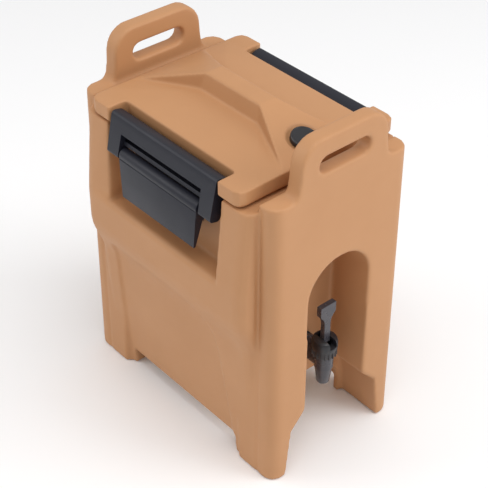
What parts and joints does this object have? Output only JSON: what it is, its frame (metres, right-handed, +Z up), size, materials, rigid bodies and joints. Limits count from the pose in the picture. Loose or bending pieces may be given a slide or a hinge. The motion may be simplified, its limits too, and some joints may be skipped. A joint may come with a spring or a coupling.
{
  "type": "insulated beverage dispenser",
  "caption": "Insulated beverage dispenser: double-wall moulded body with carrying handles and a recessed faucet, latched lift-off lid with vent cap.",
  "frame": {"origin": "centre of the footprint, on the surface the feet stand on", "axes": "+Z up, faucet end towards -Y, latches on -X and +X"},
  "size_m": [0.252, 0.354, 0.467],
  "materials": {
    "body_plastic": "fine matte moulded polyethylene, coffee beige",
    "latch_plastic": "satin charcoal nylon",
    "black_plastic": "satin black",
    "faucet_plastic": "semi-gloss dark grey",
    "steel": "drawn stainless rod",
    "rubber": "matt seal rubber",
    "foam": "rigid insulating foam"
  },
  "bodies": {
    "body": {"body_shell": "body_plastic", "tank_liner": "body_plastic", "body_foam": "foam", "faucet_body": "faucet_plastic", "faucet_bonnet": "black_plastic", "faucet_lever_pin": "steel", "faucet_outer_washer": "rubber", "faucet_inner_washer": "rubber", "faucet_nut": "black_plastic", "valve_spring": "steel"},
    "lid": {"lid_shell": "body_plastic", "lid_tray": "body_plastic", "lid_foam": "foam", "lid_gasket": "rubber", "latch_rod_left": "steel", "latch_rod_right": "steel"},
    "vent": {"vent_cap": "black_plastic", "vent_cap_seal": "rubber"},
    "left_frame": {"latch_frame_left": "latch_plastic", "lever_pins_left": "steel"},
    "right_frame": {"latch_frame_right": "latch_plastic", "lever_pins_right": "steel"},
    "left_lever": {"latch_lever_left": "latch_plastic"},
    "right_lever": {"latch_lever_right": "latch_plastic"},
    "tap_lever": {"faucet_lever": "faucet_plastic"},
    "valve": {"valve_stem": "black_plastic", "valve_seat_cup": "rubber"}
  },
  "joints": [
    {"name": "lid_lift", "type": "slide", "parent": "body", "child": "lid", "axis": [0, 0, 1], "range_m": [0, 0.105]},
    {"name": "left_latch_swing", "type": "hinge", "parent": "lid", "child": "left_frame", "pos_m": [-0.107, 0, 0.396], "axis": [0, 1, 0], "range_deg": [0, 141]},
    {"name": "right_latch_swing", "type": "hinge", "parent": "lid", "child": "right_frame", "pos_m": [0.107, 0, 0.396], "axis": [0, -1, 0], "range_deg": [0, 141]},
    {"name": "left_lever_pull", "type": "hinge", "parent": "left_frame", "child": "left_lever", "pos_m": [-0.1169, 0, 0.36386], "axis": [0, 1, 0], "range_deg": [0, 70]},
    {"name": "right_lever_pull", "type": "hinge", "parent": "right_frame", "child": "right_lever", "pos_m": [0.1169, 0, 0.36386], "axis": [0, -1, 0], "range_deg": [0, 70]},
    {"name": "faucet_lever_pull", "type": "hinge", "parent": "body", "child": "tap_lever", "pos_m": [0, -0.154, 0.16], "axis": [1, 0, 0], "range_deg": [0, 35], "stiffness_Nm_per_rad": 0.25},
    {"name": "valve_lift", "type": "slide", "parent": "body", "child": "valve", "axis": [0, 0, 1], "range_m": [0, 0.0041], "deforming": ["valve_spring"]},
    {"name": "vent_cap_pull", "type": "slide", "parent": "lid", "child": "vent", "axis": [0, -0.3195, 0.9476], "range_m": [0, 0.006]}
  ],
  "couplings": [
    {"joint": "left_latch_swing", "follows": "lid_lift", "rad_per_m": 23.271},
    {"joint": "right_latch_swing", "follows": "lid_lift", "rad_per_m": 23.271},
    {"joint": "valve_lift", "follows": "faucet_lever_pull", "m_per_rad": 0.00655}
  ]
}
